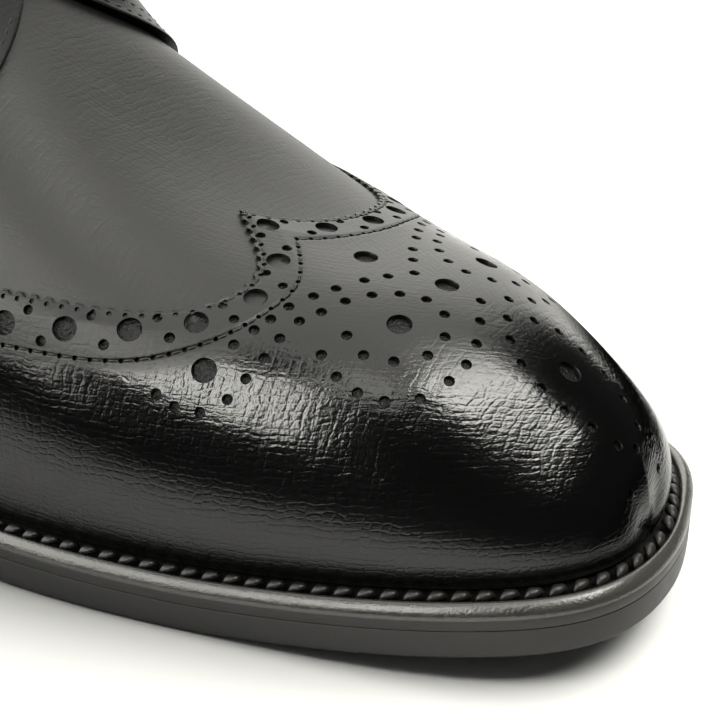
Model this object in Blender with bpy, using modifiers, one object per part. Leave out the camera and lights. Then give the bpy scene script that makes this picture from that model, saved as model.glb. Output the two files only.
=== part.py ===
"""Open-laced wingtip shoe for the right foot, an assembly of separate pieces.

Metres, toe along +X, outer (lateral) side along -Y, up +Z, the floor at z = 0.
The last is a family of ribs. A rib starts on the feather line, where the upper meets the sole,
and climbs a quarter of an ellipse to the spine on the centre line.
angle: station along the shoe, 0 at the toe tip, 180 at the back of the heel.
arch: place on a rib, 0 at the feather line, 90 on the spine.
"""
import math

import bmesh
import bpy
import numpy as np
from mathutils import Matrix, Vector

MM = 0.001

# Driving sizes in millimetres
LAST_LENGTH = 292.0
SOLE_EDGE = 10.0
OUTSOLE_THICK = 5.4
SOLE_EASE = 0.6
WELT_TOP = 9.6
WELT_BEAD = 10.0
WELT_CHANNEL = 9.1
WELT_SHOULDER = 8.6
INSOLE_TOP = 11.5
WALL = 2.0
GAP = 0.4
LAY_GAP = 0.85
QUARTER_GAP = 0.95
COUNTER_GAP = 0.7
TONGUE_GAP = 1.2
FOOT_LIFT = 0.9
WING_THICK = 1.05
QUARTER_THICK = 1.25
COUNTER_THICK = 1.2
TONGUE_THICK = 2.0
FLAT_BACK = 172.0
FLAT_FRONT = 226.0
TOE_SPRING = 7.5
TOE_END = 299.0
HEEL_RISE = 22.0
SEAT_FRONT = 66.0
HEEL_BREAST = 70.0
LIFT_THICK = 6.0
LACE_WIDE = 2.2
LACE_THICK = 1.1
EYELET_HOLE = 4.0
EYELET_INSET = 9.0

# Middle of the finished shoe over the floor, taken to the origin
CENTRE_X = 147.0
CENTRE_Y = 5.2

# Stations where the lacing starts and ends, and the half gap between the flaps there
THROAT = 83.5
FACING_START = 81.6
FACING_TOP = 98.0
HALF_GAP_LOW = 3.8
HALF_GAP_TOP = 9.0
FRONT_ARCH = 85.0
EYELET_ANGLES = (84.8, 88.5, 92.2, 95.9)

# One row for each section of the last; half widths are taken from the centre line
SECTION_COLUMNS = ("angle", "lateral", "medial", "mid", "lean", "spine", "full", "bulge")
SECTIONS = np.array((
    (0, 0.0, 0.0, 4.0, 0.0, 16.5, 0.02, 0.0),
    (12, 12.3, 12.1, 4.5, 0.6, 30.4, 0.02, 2.0),
    (25, 22.1, 26.2, 4.9, 0.2, 39.9, -0.02, 3.0),
    (40, 31.1, 36.0, 5.0, 0.0, 50.1, 0.04, 3.2),
    (55, 38.2, 44.4, 4.0, 0.0, 53.8, 0.12, 3.0),
    (70, 44.3, 48.0, 3.5, 0.0, 67.6, 0.14, 2.6),
    (85, 44.5, 37.0, 3.2, 0.0, 96.5, 0.07, 1.8),
    (100, 40.0, 29.5, 2.2, 2.0, 119.0, 0.03, 1.8),
    (120, 34.0, 28.0, 1.2, 6.0, 134.0, 0.03, 2.2),
    (140, 30.0, 29.0, 0.4, 14.0, 139.0, 0.02, 2.2),
    (160, 17.6, 17.6, 0.0, 26.0, 140.0, 0.02, 2.0),
    (180, 0.0, 0.0, 0.0, 31.0, 140.0, 0.02, 2.0)))

# Width of the welt and outsole beyond the feather line; the first row carries each side on round the toe tip
EXTENSION_COLUMNS = ("angle", "lateral", "medial")
EXTENSION = np.array((
    (-12, 7.8, 8.8), (0, 7.2, 7.2), (12, 8.8, 7.8), (25, 8.6, 10.6), (40, 7.9, 8.2), (60, 7.3, 6.6),
    (85, 6.0, 4.6), (105, 4.0, 3.4), (130, 2.8, 2.8), (180, 2.6, 2.6)))

# Collar line: the arch at which the wall ends, by station
TOPLINE = np.array((
    (98, 74.0), (103, 61.0), (108, 50.5), (116, 38.5), (128, 30.0), (142, 28.8), (160, 32.5), (180, 36.5)))

# Pattern lines on the last: the station of an edge, by arch
WING_EDGE = np.array((
    (0, 100.0), (12, 92.0), (22, 84.5), (31, 77.8), (39, 71.3), (47, 63.0), (53, 59.3), (61, 57.3),
    (68, 57.0), (76, 58.2), (84, 60.6), (90, 62.8)))
FLAP_EDGE = np.array((
    (0, 98.5), (15, 90.8), (30, 84.4), (45, 80.2), (58, 78.6), (68, 79.2), (76, 80.4), (85, 82.3),
    (90, 83.6)))
COUNTER_EDGE = np.array(((0, 112.0), (25, 121.0), (50, 138.0), (75, 156.0), (100, 167.0)))

# The wing's peak leans to the outer side of the centre line, in degrees of arch
PEAK_LEAN = 5.0
LEAN_REACH = 45.0

# Rows of the upper and the wing as shares of the arch, closer where the section bends most and at the peak
CLIMB = np.array((0, 0.1, 0.21, 0.32, 0.42, 0.51, 0.59, 0.67, 0.75, 0.84, 1 - PEAK_LEAN / 90, 1))

# Profile of the welt: share of its width outside the feather line, and height over the outsole's lower face
WELT_PROFILE = (
    (1.0, OUTSOLE_THICK + GAP), (1.0, WELT_SHOULDER), (0.9, WELT_BEAD), (0.68, WELT_BEAD),
    (0.56, WELT_CHANNEL), (0.06, WELT_CHANNEL))


def smooth_through(rows, column, at):
    """Natural cubic through one column of a table."""
    xs, ys = rows[:, 0], rows[:, column]
    h = np.diff(xs)
    tied = np.eye(len(xs))
    push = np.zeros(len(xs))
    for i in range(1, len(xs) - 1):
        tied[i, i - 1:i + 2] = h[i - 1], 2 * (h[i - 1] + h[i]), h[i]
        push[i] = 6 * ((ys[i + 1] - ys[i]) / h[i] - (ys[i] - ys[i - 1]) / h[i - 1])
    bend = np.linalg.solve(tied, push)
    at = np.asarray(at, float)
    i = np.clip(np.searchsorted(xs, at, side="right") - 1, 0, len(xs) - 2)
    a = (xs[i + 1] - at) / h[i]
    b = (at - xs[i]) / h[i]
    return a * ys[i] + b * ys[i + 1] + ((a**3 - a) * bend[i] + (b**3 - b) * bend[i + 1]) * h[i]**2 / 6


def section(name, angle):
    return smooth_through(SECTIONS, SECTION_COLUMNS.index(name), angle)


def half_width(angle, side):
    return section("lateral" if side < 0 else "medial", angle)


def extension(angle, side):
    return smooth_through(EXTENSION, EXTENSION_COLUMNS.index("lateral" if side < 0 else "medial"), angle)


def ease(u):
    u = np.clip(u, 0, 1)
    return u * u * (3 - 2 * u)


def ground(x):
    """Height of the outsole's lower face: toe spring, flat tread, arch and heel seat."""
    spring = TOE_SPRING * np.clip((x - FLAT_FRONT) / (TOE_END - FLAT_FRONT), 0, None)**1.5
    return spring + HEEL_RISE * ease((FLAT_BACK - x) / (FLAT_BACK - SEAT_FRONT))


def plan(angle, side):
    """Feather line seen from above."""
    angle = np.asarray(angle, float)
    x = LAST_LENGTH / 2 * (1 + np.cos(np.radians(angle)))
    return np.stack([x, section("mid", angle) + side * half_width(angle, side)], -1)


def outward(angle, side):
    angle = np.asarray(angle, float)
    run = plan(np.clip(angle + 0.2, 0, 180), side) - plan(np.clip(angle - 0.2, 0, 180), side)
    n = np.stack([run[..., 1], -run[..., 0]], -1) * side
    n = n / np.linalg.norm(n, axis=-1, keepdims=True)
    n[angle < 0.01] = (1, 0)
    n[angle > 179.99] = (-1, 0)
    return n


def last(angle, arch, side):
    """Point of the last on one side."""
    angle, arch = np.broadcast_arrays(np.asarray(angle, float), np.asarray(arch, float))
    foot = plan(angle, side)
    base = ground(foot[..., 0]) + SOLE_EDGE
    turn = np.radians(arch)
    swell = 1 + section("full", angle) * np.sin(2 * turn)**2
    lift = np.sin(turn)
    tuck = 6.75 * lift * (1 - lift)**2 * section("bulge", angle)
    spine = np.stack([foot[..., 0] + section("lean", angle), section("mid", angle)], -1)
    level = spine + (foot - spine) * (np.cos(turn) * swell)[..., None]
    level = level + outward(angle, side) * tuck[..., None]
    z = base + (section("spine", angle) - base) * lift * swell
    return np.concatenate([level, z[..., None]], -1)


def last_normal(angle, arch, side):
    step = 0.3
    a = np.clip(angle, 2.0, 179.0)
    along = last(a + step, arch, side) - last(a - step, arch, side)
    up = last(a, np.clip(arch + step, 0, 90), side) - last(a, np.clip(arch - step, 0, 90), side)
    n = np.cross(along, up) * side
    n[angle < 0.01] = (1, 0, 0)
    n[(angle > 179.0) | (arch > 89.9), 1] = 0
    return n / np.linalg.norm(n, axis=-1, keepdims=True)


def skin(angle, arch, side, offset):
    """Point of a form larger than the last by an offset."""
    angle, arch = np.broadcast_arrays(np.asarray(angle, float), np.asarray(arch, float))
    return last(angle, arch, side) + last_normal(angle, arch, side) * offset


def flap_half_gap(angle):
    share = np.clip((angle - FACING_START) / (FACING_TOP - FACING_START), 0, 1)
    return HALF_GAP_LOW + (HALF_GAP_TOP - HALF_GAP_LOW) * share


def rim_arch(angle, half_gap, side):
    """Arch of the upper edge: the lacing gap in front of the facing's top, the collar line behind it."""
    lacing = np.degrees(np.arccos(np.clip(half_gap / np.maximum(half_width(angle, side), 5), 0, 1)))
    collar = smooth_through(TOPLINE, 1, np.maximum(angle, FACING_TOP))
    return np.where(angle < FACING_TOP, lacing, collar)


def upper_rim(angle, side):
    return rim_arch(angle, flap_half_gap(angle) * np.clip((angle - THROAT) / 5, 0, 1), side)


def flap_rim(angle, side):
    return rim_arch(angle, flap_half_gap(angle), side)


def flap_start(arch):
    return smooth_through(FLAP_EDGE, 1, arch)


def leaned(arch, side):
    """Arch on the wing's pattern, whose peak leans off the centre line."""
    off = side * (90 - np.asarray(arch, float))
    return 90 - np.abs(off + PEAK_LEAN * ease(1 - np.abs(off) / LEAN_REACH))


def wing_end(arch, side):
    """The wing runs back to the edge of the flap and stops just short of it."""
    return np.minimum(smooth_through(WING_EDGE, 1, leaned(arch, side)), flap_start(arch) - 1.2)


def foot_arch(angle):
    """Arch at which a laid-on piece starts, a little above the welt."""
    rise = section("spine", angle) - ground(plan(angle, 1)[..., 0]) - SOLE_EDGE
    return np.degrees(np.arcsin(np.clip(FOOT_LIFT / np.maximum(rise, 0.1), 0, 0.7)))


def climbed(angle, rim, share):
    low = foot_arch(angle)
    return low + (rim - low) * share


def placed(points):
    return (np.asarray(points) - (CENTRE_X, CENTRE_Y, 0)) * MM


def collection(name):
    made = bpy.data.collections.new(name)
    bpy.context.scene.collection.children.link(made)
    return made


def material(name, colour, roughness):
    made = bpy.data.materials.new(name)
    made.use_nodes = True
    shader = made.node_tree.nodes["Principled BSDF"]
    shader.inputs["Base Color"].default_value = (*colour, 1)
    shader.inputs["Roughness"].default_value = roughness
    shader.inputs["Metallic"].default_value = 0.0
    made.diffuse_color = (*colour, 1)
    return made


def finish(bm, name, home, stuff, closed=True):
    bmesh.ops.remove_doubles(bm, verts=bm.verts, dist=0.00002)
    if closed:
        bmesh.ops.recalc_face_normals(bm, faces=bm.faces)
    mesh = bpy.data.meshes.new(name)
    bm.to_mesh(mesh)
    bm.free()
    made = bpy.data.objects.new(name, mesh)
    home.objects.link(made)
    if stuff:
        mesh.materials.append(stuff)
    return made


def add_patch(bm, grid, side):
    """Quads over a grid of points, facing out of the last on either side."""
    rows = [[bm.verts.new(p) for p in row] for row in placed(grid)]
    for a, b in zip(rows, rows[1:]):
        for j in range(len(a) - 1):
            corners = (a[j], b[j], b[j + 1], a[j + 1])
            bm.faces.new(corners if side > 0 else corners[::-1])


def shell(name, patches, thick, stuff):
    """An open skin thickened inward."""
    bm = bmesh.new()
    for grid, side in patches:
        add_patch(bm, grid, side)
    bmesh.ops.remove_doubles(bm, verts=bm.verts, dist=0.00002)
    bmesh.ops.triangulate(bm, faces=bm.faces, quad_method='SHORT_EDGE')
    made = finish(bm, name, PARTS, stuff, closed=False)
    wall = made.modifiers.new("wall", 'SOLIDIFY')
    wall.thickness = thick * MM
    wall.offset = -1
    wall.use_even_offset = False
    wall.use_quality_normals = True
    return made


def stack_of_rings(name, rings, stuff):
    """A plate from rings, lowest first; a ring holds its lateral and its medial points from toe to heel."""
    bm = bmesh.new()
    loops = []
    for lateral, medial in rings:
        loops.append([bm.verts.new(p) for p in placed(np.concatenate([lateral, medial[::-1]]))])
    for low, high in zip(loops, loops[1:]):
        for k in range(len(low)):
            n = (k + 1) % len(low)
            bm.faces.new((low[k], low[n], high[n], high[k]))
    for loop in (loops[0], loops[-1]):
        for k in range(len(loop) // 2 - 1):
            bm.faces.new((loop[k], loop[k + 1], loop[-2 - k], loop[-1 - k]))
    return finish(bm, name, PARTS, stuff)


def ring(angles, grow, height):
    """Outline larger than the feather line; height is a number over the outsole's lower face."""
    both = []
    for side in (-1, 1):
        level = plan(angles, side) + outward(angles, side) * grow(angles, side)[:, None]
        both.append(np.column_stack([level, ground(level[:, 0]) + height]))
    return both


def level_ring(outline, z):
    return [np.column_stack([half[:, :2], np.full(len(half), z)]) for half in outline]


def heel_outline(shrink):
    """The back of the sole outline, cut square at the heel breast."""
    halves = []
    fine = np.linspace(90, 180, 400)
    for side in (-1, 1):
        x = plan(fine, side)[:, 0] + outward(fine, side)[:, 0] * (extension(fine, side) - shrink)
        first = np.interp(-HEEL_BREAST, -x, fine)
        a = np.linspace(first, 180, 17)
        level = plan(a, side) + outward(a, side) * (extension(a, side) - shrink)[:, None]
        halves.append(np.column_stack([level, np.zeros(17)]))
    return halves


def less(amount):
    return lambda angles, side: extension(angles, side) - amount


def part_of(share):
    return lambda angles, side: extension(angles, side) * share


def inside(amount):
    return lambda angles, side: np.full(len(angles), -amount)


for old in list(bpy.data.objects):
    bpy.data.objects.remove(old, do_unlink=True)

PARTS = collection("wingtip_oxford")
CUTTERS = collection("cutters")
UPPER_LEATHER = material("black_upper_leather", (0.012, 0.012, 0.013), 0.35)
WING_LEATHER = material("black_wing_leather", (0.012, 0.012, 0.013), 0.35)
QUARTER_LEATHER = material("black_quarter_leather", (0.013, 0.013, 0.014), 0.35)
TONGUE_LEATHER = material("black_tongue_leather", (0.014, 0.014, 0.015), 0.45)
WELT_LEATHER = material("black_welt_leather", (0.02, 0.02, 0.021), 0.5)
SOLE_LEATHER = material("black_edged_sole_leather", (0.035, 0.034, 0.033), 0.6)
HEEL_LEATHER = material("black_heel_leather", (0.03, 0.029, 0.028), 0.6)
LIFT_RUBBER = material("black_lift_rubber", (0.02, 0.02, 0.02), 0.8)
INSOLE_LEATHER = material("tan_insole_leather", (0.32, 0.19, 0.09), 0.6)
LACE_COTTON = material("black_lace_cotton", (0.015, 0.015, 0.016), 0.8)

stations = np.linspace(0, 180, 43)

# Outsole with an eased lower edge
stack_of_rings("outsole", [
    ring(stations, less(SOLE_EASE), 0.0),
    ring(stations, less(0.0), SOLE_EASE),
    ring(stations, less(0.0), OUTSOLE_THICK)], SOLE_LEATHER)

# Insole inside the welt and the foot of the upper
insole_room = WALL + GAP
stack_of_rings("insole", [
    ring(stations, inside(insole_room), OUTSOLE_THICK + GAP),
    ring(stations, inside(insole_room), INSOLE_TOP)], INSOLE_LEATHER)

# Built heel with its rubber piece, both tapering a little to the floor
stack_of_rings("heel_top_lift", [
    level_ring(heel_outline(2.0), 0.0),
    level_ring(heel_outline(1.7), LIFT_THICK)], LIFT_RUBBER)
heel_head = heel_outline(0.4)
for half in heel_head:
    half[:, 2] = ground(half[:, 0]) - GAP
stack_of_rings("heel_stack", [
    level_ring(heel_outline(1.7), LIFT_THICK + GAP),
    heel_head], HEEL_LEATHER)

# Welt swept round the whole feather line
tracks = [ring(stations, part_of(share), height) for share, height in WELT_PROFILE]
tracks.append(ring(stations, inside(WALL), WELT_TOP))
tracks.append(ring(stations, inside(WALL), OUTSOLE_THICK + GAP))
bm = bmesh.new()
loops = []
for lateral, medial in tracks:
    loops.append([bm.verts.new(p) for p in placed(np.concatenate([lateral, medial[::-1][1:-1]]))])
for one, two in zip(loops, loops[1:] + loops[:1]):
    for k in range(len(one)):
        n = (k + 1) % len(one)
        bm.faces.new((one[k], one[n], two[n], two[k]))
finish(bm, "welt", PARTS, WELT_LEATHER)

# Upper: one hollow shell over the whole last, open at collar, throat and foot
upper_angles = np.concatenate([
    np.linspace(0, 60, 14), np.linspace(60, THROAT, 9)[1:], np.linspace(THROAT, FACING_TOP, 7)[1:],
    np.linspace(FACING_TOP, 180, 14)[1:]])
patches = []
for side in (-1, 1):
    rim = upper_rim(upper_angles, side)
    patches.append((skin(upper_angles[:, None], rim[:, None] * CLIMB[None, :], side, 0.0), side))
shell("upper", patches, WALL, UPPER_LEATHER)

# Wing cap over the toe
share = np.linspace(0, 1, 20)
patches = []
for side in (-1, 1):
    angles = share[:, None] * wing_end(90 * CLIMB, side)[None, :]
    patches.append((skin(angles, climbed(angles, 90, CLIMB[None, :]), side, LAY_GAP + WING_THICK), side))
shell("wing_cap", patches, WING_THICK, WING_LEATHER)

# Side flaps from the lacing round to the heel seam, punched for the lace
climb = np.linspace(0, 1, 9)
share = np.linspace(0, 1, 22)**1.3
for side, name in ((-1, "quarter_lateral"), (1, "quarter_medial")):
    start = flap_start(climb * FRONT_ARCH)
    heel_end = 179.2
    angles = start[None, :] + share[:, None] * (heel_end - start[None, :])
    arches = climbed(angles, flap_rim(angles, side), climb[None, :])
    face = skin(angles, arches, side, QUARTER_GAP + QUARTER_THICK)
    flap = shell(name, [(face, side)], QUARTER_THICK, QUARTER_LEATHER)
    bm = bmesh.new()
    for angle in EYELET_ANGLES:
        inset = flap_half_gap(angle) + EYELET_INSET
        arch = np.degrees(np.arccos(inset / half_width(angle, side)))
        a, t = np.array([angle]), np.array([arch])
        centre = Vector(placed(skin(a, t, side, QUARTER_GAP + QUARTER_THICK / 2)[0]))
        turn = Vector(last_normal(a, t, side)[0]).to_track_quat('Z', 'Y').to_matrix().to_4x4()
        bmesh.ops.create_cone(
            bm, cap_ends=True, segments=12, radius1=EYELET_HOLE / 2 * MM, radius2=EYELET_HOLE / 2 * MM,
            depth=6 * MM, matrix=Matrix.Translation(centre) @ turn)
    punch = finish(bm, name + "_punch", CUTTERS, None)
    punch.hide_render = True
    punch.display_type = 'WIRE'
    cut = flap.modifiers.new("eyelets", 'BOOLEAN')
    cut.operation = 'DIFFERENCE'
    cut.solver = 'EXACT'
    cut.object = punch

# Heel counter over the back of both flaps
climb = np.linspace(0, 1, 9)
share = np.linspace(0, 1, 12)
lay = QUARTER_GAP + QUARTER_THICK + COUNTER_GAP + COUNTER_THICK
patches = []
for side in (-1, 1):
    start = smooth_through(COUNTER_EDGE, 1, climb * 100)
    angles = start[None, :] + share[:, None] * (180 - start[None, :])
    arches = climbed(angles, 0.93 * flap_rim(angles, side), climb[None, :])
    patches.append((skin(angles, arches, side, lay), side))
shell("heel_counter", patches, COUNTER_THICK, QUARTER_LEATHER)

# Tongue under the lacing, from inside the vamp to above the facing
tongue_angles = np.linspace(72, 102.5, 11)
patches = []
for side in (-1, 1):
    low = np.interp(tongue_angles, (72, 80, 102.5), (64, 54, 58))
    arch = low[:, None] + (90 - low[:, None]) * np.linspace(0, 1, 6)[None, :]
    patches.append((skin(tongue_angles[:, None], arch, side, -WALL - TONGUE_GAP), side))
shell("tongue", patches, TONGUE_THICK, TONGUE_LEATHER)

# Lace bars, straight across from eyelet to eyelet
over = QUARTER_GAP + QUARTER_THICK + GAP + LACE_THICK
for number, angle in enumerate(EYELET_ANGLES, 1):
    path = []
    for side in (-1, 1):
        inset = flap_half_gap(angle) + EYELET_INSET
        low = np.degrees(np.arccos(inset / half_width(angle, side)))
        arches = np.linspace(low, 90, 6)
        half = skin(np.full(6, angle), arches, side, over)
        path.extend(half if side < 0 else half[::-1][1:])
    path = np.array(path)
    run = np.gradient(path, axis=0)
    run /= np.linalg.norm(run, axis=1, keepdims=True)
    across = np.cross(run, np.array([0.0, 0.0, 1.0]))
    across /= np.linalg.norm(across, axis=1, keepdims=True)
    lift = np.cross(across, run)
    bm = bmesh.new()
    loops = []
    for p, a, u in zip(path, across, lift):
        spots = [p + a * LACE_WIDE * math.cos(k * math.pi / 4) + u * LACE_THICK * math.sin(k * math.pi / 4)
                 for k in range(8)]
        loops.append([bm.verts.new(q) for q in placed(spots)])
    for one, two in zip(loops, loops[1:]):
        for k in range(8):
            bm.faces.new((one[k], one[(k + 1) % 8], two[(k + 1) % 8], two[k]))
    bm.faces.new(loops[0])
    bm.faces.new(loops[-1])
    finish(bm, "lace_bar_%d" % number, PARTS, LACE_COTTON)
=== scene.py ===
"""Looks of a black open-laced wingtip, a right shoe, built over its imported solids.

Lengths are millimetres on the last, toe along +X and outer side along -Y, until placed() takes
them to metres.
angle: station along the shoe, 0 at the toe tip, 180 at the back of the heel.
arch: place on a rib of the last, 0 at the feather line, 90 on the centre line.
side: -1 on the outer side, +1 on the inner side.
"""
import math

import bmesh
import bpy
import numpy as np
from mathutils import Matrix, Vector


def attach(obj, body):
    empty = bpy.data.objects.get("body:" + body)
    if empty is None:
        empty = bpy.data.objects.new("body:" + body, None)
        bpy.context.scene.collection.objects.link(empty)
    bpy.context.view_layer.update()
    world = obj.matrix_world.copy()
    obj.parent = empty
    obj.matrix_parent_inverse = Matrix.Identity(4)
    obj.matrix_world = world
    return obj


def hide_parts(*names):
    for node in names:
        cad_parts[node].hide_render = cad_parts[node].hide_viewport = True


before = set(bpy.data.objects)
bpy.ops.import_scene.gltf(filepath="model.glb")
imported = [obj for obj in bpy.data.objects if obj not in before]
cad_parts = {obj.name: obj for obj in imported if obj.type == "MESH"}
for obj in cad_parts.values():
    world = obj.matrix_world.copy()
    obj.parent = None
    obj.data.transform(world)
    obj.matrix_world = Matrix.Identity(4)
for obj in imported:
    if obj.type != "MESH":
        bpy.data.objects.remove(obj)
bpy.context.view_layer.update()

MM = 0.001
BODY = "root"

# Sizes of the last and the sole
LAST_LENGTH = 292.0
CENTRE_X = 147.0
CENTRE_Y = 5.2
SOLE_EDGE = 10.0
OUTSOLE_THICK = 5.4
WELT_FOOT = 5.55
INSOLE_TOP = 11.5
FLAT_BACK = 172.0
FLAT_FRONT = 226.0
TOE_SPRING = 7.5
TOE_END = 299.0
HEEL_RISE = 22.0
SEAT_FRONT = 66.0
HEEL_BREAST = 70.0
LIFT_THICK = 6.0
GAP = 0.4
FOOT_LIFT = 0.9

# Outer faces of the laid-on leathers over the last, and their thickness in the scene
UPPER_FACE = 0.3
UPPER_WALL = 2.3
WING_FACE = 1.9
WING_WALL = 0.8
WING_THIN = 0.75
BACKING_FACE = 1.02
QUARTER_FACE = 2.2
QUARTER_WALL = 1.7
COUNTER_FACE = 4.1
COUNTER_WALL = 1.7
TONGUE_FACE = -3.2
TONGUE_WALL = 2.0

# Lacing
THROAT = 83.5
FACING_START = 81.6
FACING_TOP = 98.0
HALF_GAP_LOW = 3.8
HALF_GAP_TOP = 9.0
FRONT_ARCH = 85.0
EYELET_ANGLES = (84.8, 88.5, 92.2, 95.9)
EYELET_INSET = 9.0
EYELET_HOLE = 4.0
LACE_WIDE = 2.2
LACE_THICK = 1.1
LACE_FACE = 3.7
LACE_SQUARE = 0.7

# One row for each section of the last; half widths are taken from the centre line
SECTION_COLUMNS = ("angle", "lateral", "medial", "mid", "lean", "spine", "full", "bulge")
SECTIONS = np.array((
    (0, 0.0, 0.0, 4.0, 0.0, 16.5, 0.02, 0.0),
    (12, 12.3, 12.1, 4.5, 0.6, 30.4, 0.02, 2.0),
    (25, 22.1, 26.2, 4.9, 0.2, 39.9, -0.02, 3.0),
    (40, 31.1, 36.0, 5.0, 0.0, 50.1, 0.04, 3.2),
    (55, 38.2, 44.4, 4.0, 0.0, 53.8, 0.12, 3.0),
    (70, 44.3, 48.0, 3.5, 0.0, 67.6, 0.14, 2.6),
    (85, 44.5, 37.0, 3.2, 0.0, 96.5, 0.07, 1.8),
    (100, 40.0, 29.5, 2.2, 2.0, 119.0, 0.03, 1.8),
    (120, 34.0, 28.0, 1.2, 6.0, 134.0, 0.03, 2.2),
    (140, 30.0, 29.0, 0.4, 14.0, 139.0, 0.02, 2.2),
    (160, 17.6, 17.6, 0.0, 26.0, 140.0, 0.02, 2.0),
    (180, 0.0, 0.0, 0.0, 31.0, 140.0, 0.02, 2.0)))

# Width of the welt and outsole beyond the feather line; the first row carries each side on round the toe tip
EXTENSION_COLUMNS = ("angle", "lateral", "medial")
EXTENSION = np.array((
    (-12, 7.8, 8.8), (0, 7.2, 7.2), (12, 8.8, 7.8), (25, 8.6, 10.6), (40, 7.9, 8.2), (60, 7.3, 6.6),
    (85, 6.0, 4.6), (105, 4.0, 3.4), (130, 2.8, 2.8), (180, 2.6, 2.6)))

# Collar line: the arch at which the wall ends, by station
TOPLINE = np.array((
    (98, 74.0), (103, 61.0), (108, 50.5), (116, 38.5), (128, 30.0), (142, 28.8), (160, 32.5), (180, 36.5)))

# Pattern lines on the last: the station of an edge, by arch
WING_EDGE = np.array((
    (0, 100.0), (12, 92.0), (22, 84.5), (31, 77.8), (39, 71.3), (47, 63.0), (53, 59.3), (61, 57.3),
    (68, 57.0), (76, 58.2), (84, 60.6), (90, 62.8)))
INNER_SEAM = np.array((
    (0, 90.0), (12, 84.0), (22, 78.0), (31, 71.2), (37, 63.4), (42.6, 58.9), (48, 56.3), (55, 54.4),
    (62, 53.5), (69, 53.3), (76, 54.1), (83, 55.5), (90, 57.2)))
FLAP_EDGE = np.array((
    (0, 98.5), (15, 90.8), (30, 84.4), (45, 80.2), (58, 78.6), (68, 79.2), (76, 80.4), (85, 82.3),
    (90, 83.6)))

# Front edge of the heel counter, by share of its height in hundredths
COUNTER_EDGE = np.array(((0, 112.0), (25, 121.0), (50, 138.0), (75, 156.0), (100, 167.0)))
COUNTER_HEIGHT = 0.93

# The wing's peak leans to the outer side of the centre line, in degrees of arch; its edge stops short of
# the flap, in degrees of station
PEAK_LEAN = 5.0
LEAN_REACH = 45.0
WING_SHORT = 1.2

# Punched pattern of the cap, charted flat in millimetres: u along the centre line from the toe, v off it;
# the inner side is wider and carries the same pattern stretched
SPIRAL = (
    (67.0, 20.8), (63.0, 22.7), (58.2, 21.1), (53.9, 16.9), (53.1, 12.0), (55.5, 7.8), (59.8, 6.4),
    (64.2, 7.7), (67.9, 10.6), (70.8, 14.4), (72.9, 18.7), (75.1, 22.2), (76.4, 26.7), (77.2, 31.0),
    (78.6, 35.5), (80.3, 40.0), (83.9, 44.2), (88.1, 45.7), (91.5, 45.6))
OUTER_ROW = (
    (68.7, 3.9), (71.2, 7.5), (73.8, 12.4), (75.9, 16.2), (78.1, 20.5), (79.4, 24.3), (80.8, 27.5),
    (82.6, 31.5))
SCROLL = (
    (69.1, 26.0), (65.4, 28.2), (61.4, 28.9), (57.0, 27.8), (52.0, 24.0), (49.0, 18.4), (47.8, 14.0),
    (48.2, 9.5), (50.1, 4.8))
TOE_LOOP = ((44.2, 4.1), (40.3, 6.6), (35.3, 7.4), (30.1, 7.4), (24.7, 5.7), (19.4, 3.8), (12.0, 5.6))
CENTRE_SMALL = (65.8, 52.7, 47.2, 16.6)
CENTRE_LARGE = (75.5, 59.4, 33.4)
PAIR_LARGE = ((60.6, 14.3), (85.3, 37.8))
INNER_STRETCH = 1.16

# Holes and seams of the wing
LARGE_HOLE = 4.15
SMALL_HOLE = 1.7
NEEDLE_HOLE = 0.95
NEEDLE_DEPTH = 1.2
NOTCH = 1.9
NOTCH_DEPTH = 1.9
BAND_STEP = 11.1
BAND_COUNT = 14
BAND_SPREAD = 0.24
STITCH_STEP = 2.7
STITCH_COUNT = 60
EDGE_ROW = 1.35
LAID_SINK = 0.05

# Length, width and height of a stitch on the wing, on the flaps and on the welt
WING_STITCH = (1.9, 0.55, 0.4)
FLAP_STITCH = (2.25, 0.6, 0.45)
WELT_STITCH = (3.8, 1.9, 1.7)

# The flaps rise over the tongue behind their front edge, high on the foot, up to the collar's start
FLAP_STAND = {-1: 0.3, 1: 3.2}
FLAP_RISE_RUN = 5
FLAP_RISE_ARCHES = (25, 60)
FLAP_RISE_END = (108, 92)


def smooth_through(rows, column, at):
    """Natural cubic through one column of a table."""
    xs, ys = rows[:, 0], rows[:, column]
    h = np.diff(xs)
    tied = np.eye(len(xs))
    push = np.zeros(len(xs))
    for i in range(1, len(xs) - 1):
        tied[i, i - 1:i + 2] = h[i - 1], 2 * (h[i - 1] + h[i]), h[i]
        push[i] = 6 * ((ys[i + 1] - ys[i]) / h[i] - (ys[i] - ys[i - 1]) / h[i - 1])
    bend = np.linalg.solve(tied, push)
    at = np.asarray(at, float)
    i = np.clip(np.searchsorted(xs, at, side="right") - 1, 0, len(xs) - 2)
    a = (xs[i + 1] - at) / h[i]
    b = (at - xs[i]) / h[i]
    return a * ys[i] + b * ys[i + 1] + ((a**3 - a) * bend[i] + (b**3 - b) * bend[i + 1]) * h[i]**2 / 6


def section(name, angle):
    return smooth_through(SECTIONS, SECTION_COLUMNS.index(name), angle)


def half_width(angle, side):
    return section("lateral" if side < 0 else "medial", angle)


def extension(angle, side):
    return smooth_through(EXTENSION, EXTENSION_COLUMNS.index("lateral" if side < 0 else "medial"), angle)


def ease(u):
    u = np.clip(u, 0, 1)
    return u * u * (3 - 2 * u)


def eased(value, bounds):
    """Smooth share of the way from one bound to the other."""
    return ease((value - bounds[0]) / (bounds[1] - bounds[0]))


def ground(x):
    """Height of the outsole's lower face: toe spring, flat tread, arch and heel seat."""
    spring = TOE_SPRING * np.clip((x - FLAT_FRONT) / (TOE_END - FLAT_FRONT), 0, None)**1.5
    return spring + HEEL_RISE * ease((FLAT_BACK - x) / (FLAT_BACK - SEAT_FRONT))


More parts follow.
